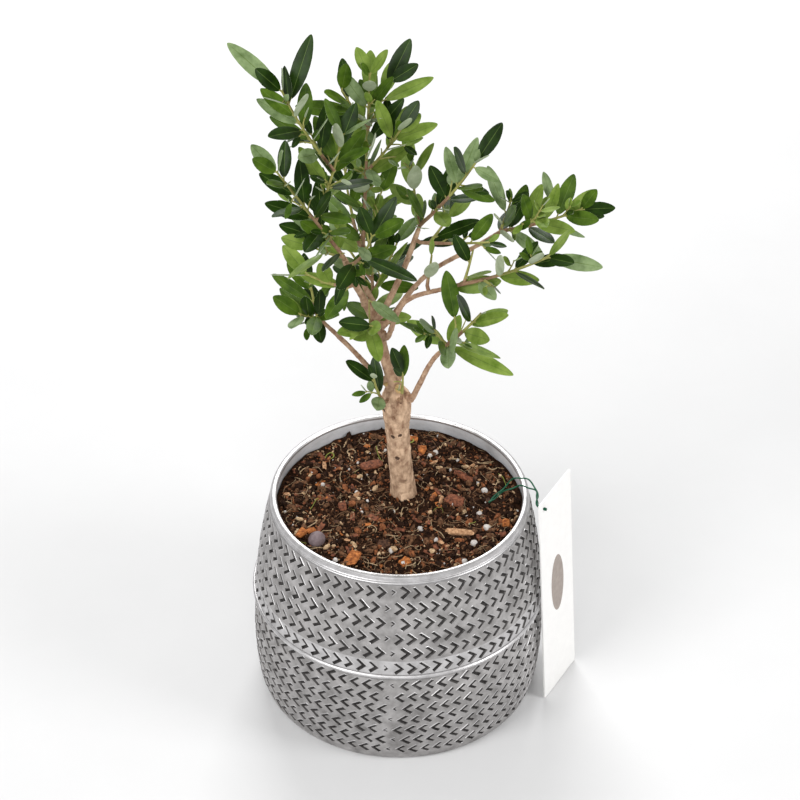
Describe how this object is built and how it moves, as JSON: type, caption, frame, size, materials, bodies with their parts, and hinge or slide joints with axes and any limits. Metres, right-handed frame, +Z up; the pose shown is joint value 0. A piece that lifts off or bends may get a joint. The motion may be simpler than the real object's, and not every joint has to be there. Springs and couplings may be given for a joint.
{
  "type": "potted olive tree",
  "caption": "Young olive tree with a bare trunk and an open leafy crown, growing in a round silver planter with a chevron relief, with a card label tied beside the rim.",
  "frame": {"origin": "centre of the planter's flat underside", "axes": "+Z up along the planter axis; +X to the right and -Y to the front, where the trunk and the fork of the crown show"},
  "size_m": [0.1933, 0.1564, 0.4063],
  "materials": {
    "pot": "satin",
    "soil": "matte",
    "bark": "matte",
    "young_bark": "matte",
    "leaves": "satin",
    "card": "matte",
    "tie": "satin"
  },
  "bodies": {
    "root": {"pot": "pot", "soil": "soil", "trunk": "bark", "upper_trunk": "young_bark", "left_bough": "young_bark", "centre_bough": "young_bark", "upright_bough": "young_bark", "right_bough": "young_bark", "right_low_bough": "young_bark", "low_right_bough": "young_bark", "low_left_bough": "young_bark", "left_foliage": "leaves", "centre_foliage": "leaves", "front_foliage": "leaves", "centre_back_foliage": "leaves", "upright_foliage": "leaves", "middle_foliage": "leaves", "right_foliage": "leaves", "right_low_foliage": "leaves", "under_foliage": "leaves", "low_right_foliage": "leaves", "low_left_foliage": "leaves", "crotch_foliage": "leaves", "inner_foliage": "leaves", "basal_left_foliage": "leaves", "basal_right_foliage": "leaves", "back_foliage": "leaves", "label_card": "card", "label_tie": "tie"}
  },
  "joints": []
}
